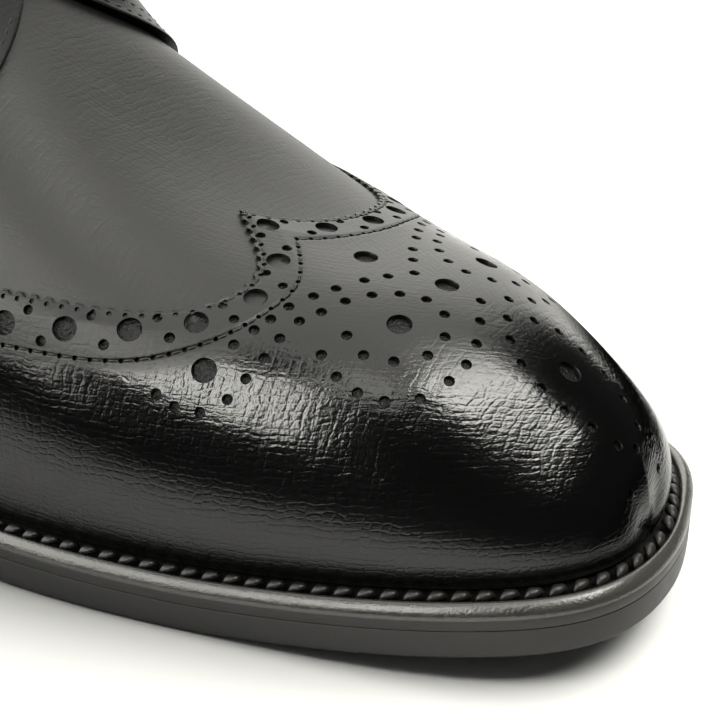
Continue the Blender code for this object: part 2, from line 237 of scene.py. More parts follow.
def plan(angle, side):
    """Feather line seen from above."""
    angle = np.asarray(angle, float)
    x = LAST_LENGTH / 2 * (1 + np.cos(np.radians(angle)))
    return np.stack([x, section("mid", angle) + side * half_width(angle, side)], -1)


def outward(angle, side):
    angle = np.asarray(angle, float)
    run = plan(np.clip(angle + 0.2, 0, 180), side) - plan(np.clip(angle - 0.2, 0, 180), side)
    n = np.stack([run[..., 1], -run[..., 0]], -1) * side
    n = n / np.linalg.norm(n, axis=-1, keepdims=True)
    n[angle < 0.01] = (1, 0)
    n[angle > 179.99] = (-1, 0)
    return n


def last(angle, arch, side):
    """Point of the last on one side."""
    angle, arch = np.broadcast_arrays(np.asarray(angle, float), np.asarray(arch, float))
    foot = plan(angle, side)
    base = ground(foot[..., 0]) + SOLE_EDGE
    turn = np.radians(arch)
    swell = 1 + section("full", angle) * np.sin(2 * turn)**2
    lift = np.sin(turn)
    # 27 / 4 brings the highest value of lift * (1 - lift)**2 to one
    tuck = 27 / 4 * lift * (1 - lift)**2 * section("bulge", angle)
    spine = np.stack([foot[..., 0] + section("lean", angle), section("mid", angle)], -1)
    level = spine + (foot - spine) * (np.cos(turn) * swell)[..., None]
    level = level + outward(angle, side) * tuck[..., None]
    z = base + (section("spine", angle) - base) * lift * swell
    return np.concatenate([level, z[..., None]], -1)


def last_normal(angle, arch, side):
    """Direction out of the last; the toe tip and the heel's end take it from a station just inside."""
    step = 0.3
    a = np.clip(angle, 2.0, 179.0)
    along = last(a + step, arch, side) - last(a - step, arch, side)
    up = last(a, np.clip(arch + step, 0, 90), side) - last(a, np.clip(arch - step, 0, 90), side)
    n = np.cross(along, up) * side
    n[angle < 0.01] = (1, 0, 0)
    n[(angle > 179.0) | (arch > 89.9), 1] = 0
    return n / np.linalg.norm(n, axis=-1, keepdims=True)


def skin(angle, arch, side, offset):
    """Point of a form larger than the last by an offset."""
    angle, arch = np.broadcast_arrays(np.asarray(angle, float), np.asarray(arch, float))
    return last(angle, arch, side) + last_normal(angle, arch, side) * np.asarray(offset)[..., None]


def flap_half_gap(angle):
    share = np.clip((angle - FACING_START) / (FACING_TOP - FACING_START), 0, 1)
    return HALF_GAP_LOW + (HALF_GAP_TOP - HALF_GAP_LOW) * share


def rim_arch(angle, half_gap, side):
    """Arch of the upper edge: the lacing gap in front of the facing's top, the collar line behind it."""
    lacing = np.degrees(np.arccos(np.clip(half_gap / np.maximum(half_width(angle, side), 5), 0, 1)))
    collar = smooth_through(TOPLINE, 1, np.maximum(angle, FACING_TOP))
    return np.where(angle < FACING_TOP, lacing, collar)


def upper_rim(angle, side):
    return rim_arch(angle, flap_half_gap(angle) * np.clip((angle - THROAT) / 5, 0, 1), side)


def flap_rim(angle, side):
    return rim_arch(angle, flap_half_gap(angle), side)


def flap_start(arch):
    return smooth_through(FLAP_EDGE, 1, arch)


def leaned(arch, side):
    """Arch on the wing's pattern, whose peak leans off the centre line."""
    off = side * (90 - np.asarray(arch, float))
    return 90 - np.abs(off + PEAK_LEAN * ease(1 - np.abs(off) / LEAN_REACH))


def wing_end(arch, side):
    """The wing runs back to the edge of the flap and stops just short of it."""
    return np.minimum(smooth_through(WING_EDGE, 1, leaned(arch, side)), flap_start(arch) - WING_SHORT)


def inner_seam(arch, side):
    return smooth_through(INNER_SEAM, 1, leaned(arch, side))


def foot_arch(angle):
    """Arch at which a laid-on piece starts, a little above the welt."""
    rise = section("spine", angle) - ground(plan(angle, 1)[..., 0]) - SOLE_EDGE
    return np.degrees(np.arcsin(np.clip(FOOT_LIFT / np.maximum(rise, 0.1), 0, 0.7)))


def climbed(angle, rim, share):
    low = foot_arch(angle)
    return low + (rim - low) * share


def placed(points):
    return (np.asarray(points) - (CENTRE_X, CENTRE_Y, 0)) * MM


# Lengths on the leather's face, by half degrees: back from the toe, and up a rib from the feather line

LEATHER_UNIT = 100
FINE_ANGLES = np.arange(361) / 2
FINE_ARCHES = np.arange(181) / 2


def face_lengths(side):
    angle, arch = np.meshgrid(FINE_ANGLES, FINE_ARCHES, indexing="ij")
    points = skin(angle, arch, side, np.full(angle.shape, WING_FACE))
    back = np.cumsum(np.linalg.norm(np.diff(points, axis=0, prepend=points[:1]), axis=2), axis=0)
    climb = np.cumsum(np.linalg.norm(np.diff(points, axis=1, prepend=points[:, :1]), axis=2), axis=1)
    return back, climb


LENGTHS = {side: face_lengths(side) for side in (-1, 1)}


def read_off(table, angle, arch):
    """Value of a table of half degrees between its rows and columns."""
    i = np.clip((angle * 2).astype(int), 0, 359)
    j = np.clip((arch * 2).astype(int), 0, 179)
    a, b = angle * 2 - i, arch * 2 - j
    low = table[i, j] * (1 - b) + table[i, j + 1] * b
    return low * (1 - a) + (table[i + 1, j] * (1 - b) + table[i + 1, j + 1] * b) * a


def leather_uv(angle, arch, side):
    """Place on the leather, in leather units."""
    back, climb = (read_off(table, angle, arch) for table in LENGTHS[side])
    return np.column_stack([back, side * climb]) / LEATHER_UNIT


def spot(u, v):
    """Angle, arch and side of a place charted off the centre line."""
    side = 1 if v > 0 else -1
    back, climb = LENGTHS[side]
    angle = np.interp(u, back[:, -1], FINE_ANGLES)
    rib = read_off(climb, np.full(181, angle), FINE_ARCHES)
    return angle, np.interp(rib[-1] - abs(v), rib, FINE_ARCHES), side


# Mesh helpers

MERGE = 0.02


def meshed(bm, name):
    """Mesh of a finished bmesh."""
    mesh = bpy.data.meshes.new(name)
    bm.to_mesh(mesh)
    bm.free()
    return mesh


def shown(name, mesh, *stuffs):
    """Puts a mesh with its materials into the scene."""
    made = bpy.data.objects.new(name, mesh)
    bpy.context.scene.collection.objects.link(made)
    for stuff in stuffs:
        mesh.materials.append(stuff)
    return made


def bent_grid(along, across, place, flip=False):
    """A flat grid bent to shape: place(s, t) takes shares along and across to points and leather places.

    Two more columns after the leather places are the piece's finish map.
    """
    bm = bmesh.new()
    bmesh.ops.create_grid(bm, x_segments=along, y_segments=across, size=0.5)
    mesh = meshed(bm, "bent")
    flat = np.empty(len(mesh.vertices) * 3)
    mesh.vertices.foreach_get("co", flat)
    shares = flat.reshape(-1, 3)[:, :2] + 0.5
    points, leather = place(shares[:, 0], shares[:, 1])
    mesh.vertices.foreach_set("co", placed(points).ravel())
    corners = np.empty(len(mesh.loops), int)
    mesh.loops.foreach_get("vertex_index", corners)
    mesh.uv_layers.new(name="leather").data.foreach_set("uv", leather[corners][:, :2].ravel())
    if leather.shape[1] > 2:
        mesh.uv_layers.new(name="finish").data.foreach_set("uv", leather[corners][:, 2:].ravel())
    if flip:
        mesh.flip_normals()
    return mesh


def assembled(name, meshes, *stuffs):
    """One object from several meshes, with their meeting edges merged."""
    bm = bmesh.new()
    for mesh in meshes:
        bm.from_mesh(mesh)
        bpy.data.meshes.remove(mesh)
    bmesh.ops.remove_doubles(bm, verts=bm.verts, dist=MERGE * MM)
    return shown(name, meshed(bm, name), *stuffs)


def walled(made, thick, lined=False):
    """Gives a skin its thickness, inward."""
    wall = made.modifiers.new("wall", 'SOLIDIFY')
    wall.thickness = thick * MM
    wall.offset = -1
    wall.use_even_offset = False
    wall.use_quality_normals = True
    wall.material_offset = 1 if lined else 0
    return made


# Degrees between faces past which a corner stays sharp, on cut leather, on a cord and on the welt
CUT_EDGE = 35
ROUND_CORD = 60
ROUND_RIM = 50


def settled(made, sharp=CUT_EDGE):
    """Makes the modifiers' result the piece's own mesh, smooth but for its real corners."""
    graph = bpy.context.evaluated_depsgraph_get()
    mesh = bpy.data.meshes.new_from_object(made.evaluated_get(graph))
    made.modifiers.clear()
    made.data = mesh
    mesh.name = made.name
    mesh.shade_smooth()
    mesh.set_sharp_from_angle(angle=math.radians(sharp))
    return made


def punched(made, tools):
    """Cuts the joined punches out of a piece and removes them."""
    for tool in tools:
        cut = made.modifiers.new("punch", 'BOOLEAN')
        cut.operation = 'DIFFERENCE'
        cut.solver = 'MANIFOLD'
        cut.object = tool
    settled(made)
    for tool in tools:
        bpy.data.objects.remove(tool, do_unlink=True)
    return made


def dressed(made, slot, *nodes):
    """Attaches a piece to the body that it rides on and hides the nodes that it stands for; slot is not used.
    """
    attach(made, BODY)
    if nodes:
        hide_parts(*nodes)
    return made


def turned(profile, around):
    """Template: a closed turned form about Z whose profile starts and ends on the axis."""
    bm = bmesh.new()
    chain = [bm.verts.new((r * MM, 0, z * MM)) for r, z in profile]
    edges = [bm.edges.new(pair) for pair in zip(chain, chain[1:])]
    bmesh.ops.spin(bm, geom=chain + edges, cent=(0, 0, 0), axis=(0, 0, 1), angle=2 * math.pi,
                   steps=around, use_merge=True)
    bmesh.ops.remove_doubles(bm, verts=bm.verts, dist=1e-6)
    bmesh.ops.recalc_face_normals(bm, faces=bm.faces)
    return meshed(bm, "turned")


def thread_bead(length, width, height, around=8, rings=6, ply=0.0):
    """Template: one stitch, long in X, its ends dipping into the leather; ply twists two strands."""
    bm = bmesh.new()
    bmesh.ops.create_uvsphere(bm, u_segments=around, v_segments=rings, radius=0.5)
    for vert in bm.verts:
        across, up, along = vert.co
        twist = math.atan2(up, across)
        swell = 1 + ply * math.cos(2 * twist + 9 * along)
        dip = height * (0.25 - 1.6 * along * along)
        vert.co = (along * length * MM, across * width * swell * MM, (up * height * swell + dip) * MM)
    bmesh.ops.recalc_face_normals(bm, faces=bm.faces)
    return meshed(bm, "bead")


def scattered(name, template, spots, *stuffs):
    """Joins a copy of a small template at each spot, a 4 by 4 matrix in metres."""
    count = len(template.vertices)
    flat = np.empty(count * 3)
    template.vertices.foreach_get("co", flat)
    local = np.column_stack([flat.reshape(-1, 3), np.ones(count)])
    points = np.concatenate([(local @ np.asarray(m).T)[:, :3] for m in spots])
    sides = [tuple(p.vertices) for p in template.polygons]
    faces = [tuple(i + k * count for i in side) for k in range(len(spots)) for side in sides]
    mesh = bpy.data.meshes.new(name)
    mesh.from_pydata(points, [], faces)
    mesh.shade_smooth()
    return shown(name, mesh, *stuffs)


def stand(point, normal, along=(1, 0, 0)):
    """Frame with Z along a normal and X near a direction, at a point in millimetres."""
    z = np.asarray(normal) / np.linalg.norm(normal)
    x = np.asarray(along) - z * np.dot(along, z)
    x = x / np.linalg.norm(x)
    made = np.eye(4)
    made[:3, 0], made[:3, 1], made[:3, 2], made[:3, 3] = x, np.cross(z, x), z, placed(point)
    return made


def line_length(points):
    return np.concatenate([[0], np.cumsum(np.linalg.norm(np.diff(points, axis=0), axis=1))])


def on_line(at, length, points):
    """Rows of a line's points, or of its normals, at lengths along it."""
    return np.column_stack([np.interp(at, length, points[:, k]) for k in range(3)])


def row_spots(angles, arches, side, offsets, step):
    """Frames at even steps along a line over the last."""
    points = skin(angles, arches, side, offsets)
    length = line_length(points)
    at = np.arange(step / 2, length[-1], step)
    a = np.interp(at, length, angles)
    t = np.interp(at, length, arches)
    here = skin(a, t, side, np.interp(at, length, offsets))
    normals = last_normal(a, t, side)
    ahead = np.gradient(here, axis=0)
    return [stand(p, n, r) for p, n, r in zip(here, normals, ahead)]


# Materials

def srgb(colour):
    """Linear colour of an sRGB hex value."""
    parts = [int(colour[i:i + 2], 16) / 255 for i in (1, 3, 5)]
    return tuple(c / 12.92 if c <= 0.04045 else ((c + 0.055) / 1.055)**2.4 for c in parts) + (1.0,)


def node(tree, kind, inputs=None, **settings):
    """Adds a node with its settings, and links or sets its inputs."""
    made = tree.nodes.new(kind)
    for name, value in settings.items():
        setattr(made, name, value)
    for key, value in (inputs or {}).items():
        if isinstance(value, bpy.types.NodeSocket):
            tree.links.new(value, made.inputs[key])
        else:
            made.inputs[key].default_value = value
    return made


def blank(name, colour, roughness, **sockets):
    """A material with its Principled shader set all over; returns it with its tree and shader."""
    made = bpy.data.materials.new(name)
    made.use_nodes = True
    shader = made.node_tree.nodes["Principled BSDF"]
    shader.inputs["Base Color"].default_value = srgb(colour)
    shader.inputs["Roughness"].default_value = roughness
    for key, value in sockets.items():
        shader.inputs[key.replace("_", " ")].default_value = value
    return made, made.node_tree, shader


# Grain of the calf in millimetres, along the shoe and up its rib: the cells between the creases and how far
# they wander, then each layer's size with its share of the depth
CELLS = (1.6, 1.35)
CELL_RANDOM = 0.35
WANDER_SIZE = 5.0
WANDER = 1.6
WRINKLE = ((3.5, 0.6), 0.65)
STROKE = ((0.8, 4.0), 0.6)
PEBBLE = ((0.8, 0.7), 0.4)
PORE = ((0.3, 0.3), 0.2)
SWELL = ((8.0, 8.0), 2.0)

# Reach of the dip beside a crease and of the crease, in cells, and their shares of the depth
DIP = (0.45, 0.13)
CREASE_REACH = 0.2
CREASE = 0.2
POLISHED_CREASE = 0.16
WALL_CREASE = 0.6


def hatch_leather(name, roughness, depth, polished=None, shine=0.6):
    """Calf printed with a fine hatch: near black, so the eye sees only its gloss, broken by thin creases.

    polished is the roughness where the piece's finish map is full; shine is how strongly its wax reflects,
    and set lower it paints shade.
    """
    made, tree, shader = blank(name, "#050505", roughness, Specular_IOR_Level=shine)
    place = node(tree, "ShaderNodeUVMap", uv_map="leather").outputs["UV"]
    drift = node(tree, "ShaderNodeTexNoise",
                 {"Vector": place, "Scale": LEATHER_UNIT / WANDER_SIZE, "Detail": 2.0},
                 noise_dimensions='2D').outputs["Color"]
    wander = (WANDER / LEATHER_UNIT, WANDER / LEATHER_UNIT, 0)
    bent = node(tree, "ShaderNodeVectorMath", {0: drift, 1: wander, 2: place},
                operation='MULTIPLY_ADD').outputs[0]
    stretch = (LEATHER_UNIT / CELLS[0], LEATHER_UNIT / CELLS[1], 1)
    cells = node(tree, "ShaderNodeMapping", {"Vector": bent, "Scale": stretch}).outputs[0]
    lattice = node(tree, "ShaderNodeTexVoronoi",
                   {"Vector": cells, "Scale": 1.0, "Randomness": CELL_RANDOM},
                   voronoi_dimensions='2D', feature='DISTANCE_TO_EDGE').outputs["Distance"]
    crease = CREASE
    if polished:
        finish = node(tree, "ShaderNodeUVMap", uv_map="finish").outputs["UV"]
        polish, wall = node(tree, "ShaderNodeSeparateXYZ", {0: finish}).outputs[:2]
        gloss = node(tree, "ShaderNodeMapRange",
                     {"Value": polish, "To Min": roughness, "To Max": polished}).outputs[0]
        tree.links.new(gloss, shader.inputs["Roughness"])
        crease = node(tree, "ShaderNodeMapRange",
                      {"Value": wall, "To Min": POLISHED_CREASE, "To Max": WALL_CREASE}).outputs[0]
    layers = []
    for reach, share in (DIP, (CREASE_REACH, crease)):
        layer = node(tree, "ShaderNodeMapRange", {"Value": lattice, "From Max": reach},
                     interpolation_type='SMOOTHSTEP').outputs[0]
        layers.append((layer, share))
    for size, share in (WRINKLE, STROKE, PEBBLE, PORE, SWELL):
        stretch = (LEATHER_UNIT / size[0], LEATHER_UNIT / size[1], 1)
        stretched = node(tree, "ShaderNodeMapping", {"Vector": bent, "Scale": stretch}).outputs[0]
        layer = node(tree, "ShaderNodeTexNoise", {"Vector": stretched, "Scale": 1.0, "Detail": 2.0},
                     noise_dimensions='2D').outputs["Fac"]
        layers.append((layer, share))
    height = 0.0
    for layer, share in layers:
        height = node(tree, "ShaderNodeMath", {0: layer, 1: share, 2: height},
                      operation='MULTIPLY_ADD').outputs[0]
    bump = node(tree, "ShaderNodeBump", {"Height": height, "Distance": depth * MM, "Strength": 1.0})
    tree.links.new(bump.outputs[0], shader.inputs["Normal"])
    return made


# Patches of a dressed surface: size in grits, share of the relief, and what they add to the roughness
PATCH = 14
PATCH_RELIEF = 0.8
PATCH_ROUGH = (-0.08, 0.1)


def speckled(name, colour, roughness, grit, depth, **sockets):
    """A dressed surface with a fine grit that breaks up its shine, drawn as coarse as it needs to show."""
    made, tree, shader = blank(name, colour, roughness, **sockets)
    place = node(tree, "ShaderNodeTexCoord").outputs["Object"]
    grain, patch = (
        node(tree, "ShaderNodeTexNoise", {"Vector": place, "Scale": 1 / (size * MM), "Detail": detail})
        for size, detail in ((grit, 3.0), (grit * PATCH, 2.0)))
    relief = node(tree, "ShaderNodeMath",
                  {0: patch.outputs["Fac"], 1: PATCH_RELIEF, 2: grain.outputs["Fac"]},
                  operation='MULTIPLY_ADD').outputs[0]
    bump = node(tree, "ShaderNodeBump", {"Height": relief, "Distance": depth * MM, "Strength": 1.0})
    tree.links.new(bump.outputs[0], shader.inputs["Normal"])
    low, high = (roughness + more for more in PATCH_ROUGH)
    rough = node(tree, "ShaderNodeMapRange",
                 {"Value": patch.outputs["Fac"], "To Min": low, "To Max": high})
    tree.links.new(rough.outputs[0], shader.inputs["Roughness"])
    return made


# Calf of the wing, waxed and then polished towards the toe: near black with a wet mirror of the room
WING_CALF = hatch_leather("polished_hatch_calf", 0.4, 0.045, polished=0.14)
# Calf of the vamp, waxed and left so: a soft grey bloom and no mirror
VAMP_CALF = hatch_leather("waxed_hatch_calf", 0.45, 0.045)
# Calf of flaps, counter and binding: the vamp's calf with half its shine, a shaded copy that paints shade on
# them, duller and darker than the vamp
FLAP_SHADED_CALF = hatch_leather("shaded_copy_hatch_calf", 0.4, 0.045, shine=0.3)
# Calf of the tongue, unpolished: flat black with a faint hatch
TONGUE_CALF = hatch_leather("tongue_hatch_calf", 0.5, 0.03)
# Crinkled calf under the wing, seen down the punched holes: dark, with broken glints
BACKING_CALF = speckled("crinkled_backing_calf", "#090909", 0.4, 0.7, 0.4, Specular_IOR_Level=0.3)
# Rounded rim of the welt, burnished with a hot iron and glossy; its grey base colour, lighter than the black
# leather, is painted sheen, pitted by a fine grit
BEAD_PAINTED_SHEEN = speckled("bead_leather_painted_sheen", "#3d3c39", 0.24, 0.5, 0.08, Specular_IOR_Level=1.0)
# Channel of the welt, dressed and left dull: black between the stitches
WELT_LEATHER = speckled("dressed_welt_leather", "#070707", 0.5, 0.5, 0.03)
# Cut edges of sole and heel, sanded, inked and waxed: an even dark grey with a low sheen
SOLE_EDGE_INK = speckled("inked_sole_edge", "#272625", 0.42, 0.35, 0.015)
HEEL_INK = speckled("inked_heel_edge", "#1f1e1d", 0.42, 0.35, 0.015)
# Rubber of the wearing piece, moulded: matte and nearly black
LIFT_RUBBER = speckled("moulded_lift_rubber", "#1b1b1b", 0.8, 0.6, 0.02)
# Calf of the lining, tanned and not dyed: warm brown and matte
LINING_CALF = speckled("natural_lining_calf", "#a9784a", 0.6, 0.45, 0.02)
# Sewing thread, waxed: black with a faint shine
THREAD = speckled("waxed_black_thread", "#0c0c0c", 0.4, 0.25, 0.03)
# Linen of the welt's stitches, twisted and waxed: dark grey strands with small glints
WELT_THREAD = speckled("waxed_linen_thread", "#262523", 0.36, 0.3, 0.06)
# Cotton of the laces, woven and waxed: matte black
LACE_COTTON = speckled("waxed_lace_cotton", "#131313", 0.7, 0.35, 0.06)


# Upper: the vamp with its lining, open at collar, throat and foot

def on_last(angle, arch, side, offset):
    return skin(angle, arch, side, offset), leather_uv(angle, arch, side)


def stuffed(mesh, number):
    """Gives all of a mesh's faces one material of its piece."""
    mesh.polygons.foreach_set("material_index", np.full(len(mesh.polygons), number, dtype=np.int32))
    return mesh


# Degrees inside the wing's edge between which the leather under it rises close below it
UNDER_WING = (0.6, 3.1)
FULLY_UNDER = 0.98
BACKING_PLACE = 2

# Shares of the upper's grid and the stations where they lie
UPPER_RUN = ((0, 0.4, 0.55, 0.66, 1), (0, 60, THROAT, FACING_TOP, 180))


def under_wing(angle, arch, side):
    """Share of the way from the wing's edge to where the leather under it lies close below it."""
    return eased(wing_end(arch, side) - angle, UNDER_WING)


def upper_skin(side):
    def place(s, t):
        angle = np.interp(s, *UPPER_RUN)
        arch = upper_rim(angle, side) * t
        under = under_wing(angle, arch, side)
        points, leather = on_last(angle, arch, side, UPPER_FACE + (BACKING_FACE - UPPER_FACE) * under)
        return points, np.column_stack([leather, under, under])
    return place


def backed(mesh):
    """Gives the leather that lies close under the wing its own finish."""
    places = np.empty(len(mesh.loops) * 2)
    mesh.uv_layers["finish"].data.foreach_get("uv", places)
    first_corners = np.array([p.loop_start for p in mesh.polygons])
    under = places[::2][first_corners] > FULLY_UNDER
    mesh.polygons.foreach_set("material_index", np.where(under, BACKING_PLACE, 0).astype(np.int32))
    return mesh


halves = [backed(bent_grid(170, 48, upper_skin(side), side < 0)) for side in (-1, 1)]
upper = assembled("upper_vamp", halves, VAMP_CALF, LINING_CALF, BACKING_CALF)
settled(walled(upper, UPPER_WALL, lined=True))
dressed(upper, "upper_leather", "upper")


# Wing cap: band coordinate 0 at the toe, 1 on the inner seam, 2 on the edge

BAND_RUN = ((0, 0.56, 0.66, 0.72, 0.84, 1.0), (0, 0.975, 1.0, 1.12, 1.8, 2.0))
SEAM_TROUGH = 0.2
SEAM_WIDE = 0.6
EDGE_ROLL = 0.25
ROLL_WIDE = 0.3
WING_TAPER = 9.0

# Polish of the wing: it fades towards the inner seam, on the low wall and on the top
POLISH_FADE = 9.0
WALL_ARCHES = (12, 36)
WALL_DULL = 0.6
TOP_ARCHES = (50, 68)
TOP_STATIONS = (26, 42)
TOP_DULL = 0.9


def off_line(angle, arch, station, side):
    """Distance of places on the last from a station at the same arch."""
    return np.linalg.norm(last(angle, arch, side) - last(station, arch, side), axis=1)


def rolled(off_edge):
    """How far a cut edge is rolled down, by the distance from it."""
    return EDGE_ROLL * np.exp(-off_edge / ROLL_WIDE)


def trough(off_row):
    """How far a row of stitches draws the leather down, by the distance from it."""
    return SEAM_TROUGH * np.exp(-(off_row / SEAM_WIDE)**2)


def band_angle(band, arch, side):
    inner = inner_seam(arch, side)
    edge = wing_end(arch, side)
    return np.where(band < 1, band * inner, inner + (band - 1) * (edge - inner))


def wing_skin(side):
    def place(s, t):
        band = np.interp(s, *BAND_RUN)
        rib = 90 * t
        angle = band_angle(band, rib, side)
        arch = climbed(angle, 90, t)
        off_seam = off_line(angle, arch, inner_seam(rib, side), side)
        off_edge = off_line(angle, arch, wing_end(rib, side), side)
        dip = trough(off_seam) + trough(off_edge - EDGE_ROW) + rolled(off_edge)
        dip = dip + WING_THIN * np.clip(1 - off_edge / WING_TAPER, 0, 1)
        points, leather = on_last(angle, arch, side, WING_FACE - dip)
        wall = 1 - eased(arch, WALL_ARCHES)
        top = eased(arch, TOP_ARCHES) * eased(angle, TOP_STATIONS)
        polish = np.where(band < 1, ease(off_seam / POLISH_FADE), 0)
        polish = polish * (1 - WALL_DULL * wall) * (1 - TOP_DULL * top)
        return points, np.column_stack([leather, polish, wall])
    return place


# Wall of a punched hole up to its flared mouth: what its radius gains, and the height over the face
MOUTH = ((0, -1.9), (0, -0.35), (0.03, -0.16), (0.11, 0.0), (0.4, 0.3))


def punch(diameter, around=18):
    """Template of a punch: a straight barrel whose mouth flares, as leather is drawn in round a hole."""
    wall = [(diameter / 2 + wider, height) for wider, height in MOUTH]
    return turned([(0, wall[0][1])] + wall + [(0, wall[-1][1])], around)


def needle(diameter, depth, around=8):
    """Template of a plain round cut."""
    r = diameter / 2
    return turned(((0, -depth), (r, -depth), (r, 0.6), (0, 0.6)), around)


def hole_spots(chart):
    made = []
    for u, v in chart:
        angle, arch, side = spot(u, v)
        a, t = np.array([angle]), np.array([arch])
        made.append(stand(skin(a, t, side, np.array([WING_FACE]))[0], last_normal(a, t, side)[0]))
    return made


def mirrored(chart):
    return [(u, -v) for u, v in chart] + [(u, v * INNER_STRETCH) for u, v in chart]


def shifted(spots, inward):
    """Frames along an edge moved into the piece, off their line."""
    made = []
    for frame_at in spots:
        moved = frame_at.copy()
        moved[:3, 3] -= moved[:3, 1] * inward * MM
        made.append(moved)
    return made


LINE_POINTS = 400
LINE_FOOT = 3


def band_line(share):
    """The band's line at a share of its width, from the outer foot over the peak to the inner foot."""
    rows = []
    for side in (-1, 1):
        rib = np.linspace(LINE_FOOT, 90, LINE_POINTS)
        rib = rib if side < 0 else rib[::-1]
        angle = band_angle(np.full(LINE_POINTS, 1 + share), rib, side)
        arch = climbed(angle, 90, rib / 90)
        rows.append(np.column_stack([angle, arch, np.full(LINE_POINTS, side)]))
    return np.concatenate(rows)


def line_spots(line, offset, steps):
    """Frames along a line that crosses the centre, at lengths measured from the wing's peak."""
    points, normals = [], []
    for side in (-1, 1):
        angle, arch = line[line[:, 2] == side][:, :2].T
        points.append(skin(angle, arch, side, np.full(len(angle), offset)))
        normals.append(last_normal(angle, arch, side))
    points, normals = np.concatenate(points), np.concatenate(normals)
    length = line_length(points)
    peak = length[np.argmax(leaned(line[:, 1], -1) * (line[:, 2] < 0))]
    at = peak + np.asarray(steps)
    at = at[(at > 0) & (at < length[-1])]
    here = on_line(at, length, points)
    facing = on_line(at, length, normals)
    ahead = on_line(at + 0.5, length, points) - here
    return [stand(p, n, r) for p, n, r in zip(here, facing, ahead)]


band_steps = np.arange(-BAND_COUNT, BAND_COUNT + 1) * BAND_STEP
between = band_steps[:-1] + BAND_STEP / 2
large = hole_spots([(u, 0) for u in CENTRE_LARGE] + mirrored(PAIR_LARGE))
large = large + line_spots(band_line(0.5), WING_FACE, band_steps)
small = hole_spots([(u, 0) for u in CENTRE_SMALL] + mirrored(SPIRAL + OUTER_ROW + SCROLL + TOE_LOOP))
for share in (0.5 - BAND_SPREAD, 0.5 + BAND_SPREAD):
    small = small + line_spots(band_line(share), WING_FACE, between)

# Stitched rows of the wing: needle holes with the thread between them, and a notched edge
stitch_steps = np.arange(-STITCH_COUNT, STITCH_COUNT + 1) * STITCH_STEP
thread_steps = stitch_steps[:-1] + STITCH_STEP / 2
seam_line, edge_line = band_line(0.0), band_line(1.0)
needles = line_spots(seam_line, WING_FACE, stitch_steps)
needles = needles + shifted(line_spots(edge_line, WING_FACE, stitch_steps), EDGE_ROW)
notches = line_spots(edge_line, WING_FACE, thread_steps)
threads = line_spots(seam_line, WING_FACE - SEAM_TROUGH - LAID_SINK, thread_steps)
edge_face = WING_FACE - WING_THIN * (1 - EDGE_ROW / WING_TAPER) - SEAM_TROUGH
threads = threads + shifted(line_spots(edge_line, edge_face - LAID_SINK, thread_steps), EDGE_ROW)

halves = [bent_grid(176, 78, wing_skin(side), side < 0) for side in (-1, 1)]
wing = walled(assembled("wing_cap_leather", halves, WING_CALF), WING_WALL)
punched(wing, [scattered("large_punches", punch(LARGE_HOLE, 28), large),
               scattered("small_punches", punch(SMALL_HOLE), small),
               scattered("needle_punches", needle(NEEDLE_HOLE, NEEDLE_DEPTH), needles),
               scattered("notch_punches", needle(NOTCH, NOTCH_DEPTH), notches)])
dressed(wing, "upper_leather", "wing_cap")
dressed(scattered("wing_stitches", thread_bead(*WING_STITCH), threads, THREAD), "lace_cotton")


# Side flaps, from the lacing round to the heel; their grid is closer at the front edge and the rim

FLAP_CLIMB = ((0, 0.85, 1), (0, 0.93, 1))
FLAP_RUN = ((0, 0.06, 0.2, 1), (0, 0.008, 0.1, 1))


def flap_lift(angle, arch, start, side):
    """Rise of the flap over the tongue."""
    front = ease((angle - start) / FLAP_RISE_RUN)
    return FLAP_STAND[side] * front * eased(arch, FLAP_RISE_ARCHES) * eased(angle, FLAP_RISE_END)


def flap_skin(side):
    def place(s, t):
        climb = np.interp(t, *FLAP_CLIMB)
        start = flap_start(climb * FRONT_ARCH)
        angle = start + np.interp(s, *FLAP_RUN) * (180 - start)
        arch = climbed(angle, flap_rim(angle, side), climb)
        roll = rolled(off_line(angle, arch, start, side))
        return on_last(angle, arch, side, QUARTER_FACE + flap_lift(angle, arch, start, side) - roll)
    return place


def eyelet(angle, side):
    inset = flap_half_gap(angle) + EYELET_INSET
    return np.degrees(np.arccos(inset / half_width(angle, side)))


def on_flap(angle, arch, side):
    """Height of the flap's face over the last."""
    return QUARTER_FACE + flap_lift(angle, arch, flap_start(arch), side)


for side, name in ((-1, "quarter_lateral"), (1, "quarter_medial")):
    flap = assembled(name + "_leather", [bent_grid(190, 56, flap_skin(side), side < 0)], FLAP_SHADED_CALF)
    places = []
    for angle in EYELET_ANGLES:
        a, t = np.array([angle]), np.array([eyelet(angle, side)])
        places.append(stand(skin(a, t, side, on_flap(a, t, side))[0], last_normal(a, t, side)[0]))
    punched(walled(flap, QUARTER_WALL), [scattered("eyelet_punches", punch(EYELET_HOLE), places)])
    dressed(flap, "upper_leather", name)


# Heel counter over the back of both flaps

COUNTER_RUN = ((0, 0.1, 1), (0, 0.02, 1))


def counter_start(share):
    return smooth_through(COUNTER_EDGE, 1, share * 100)


def counter_climb(angle, share, side):
    return climbed(angle, COUNTER_HEIGHT * flap_rim(angle, side), share)


def counter_skin(side):
    def place(s, t):
        start = counter_start(t)
        angle = start + np.interp(s, *COUNTER_RUN) * (180 - start)
        arch = counter_climb(angle, t, side)
        return on_last(angle, arch, side, COUNTER_FACE - rolled(off_line(angle, arch, start, side)))
    return place


halves = [bent_grid(90, 50, counter_skin(side), side < 0) for side in (-1, 1)]
counter = settled(walled(assembled("heel_counter_leather", halves, FLAP_SHADED_CALF), COUNTER_WALL))
dressed(counter, "upper_leather", "heel_counter")


# Tongue: stations along it and the arches of its sides there

TONGUE_STATIONS = (72, 80, 102.5)
TONGUE_ARCHES = (64, 54, 58)


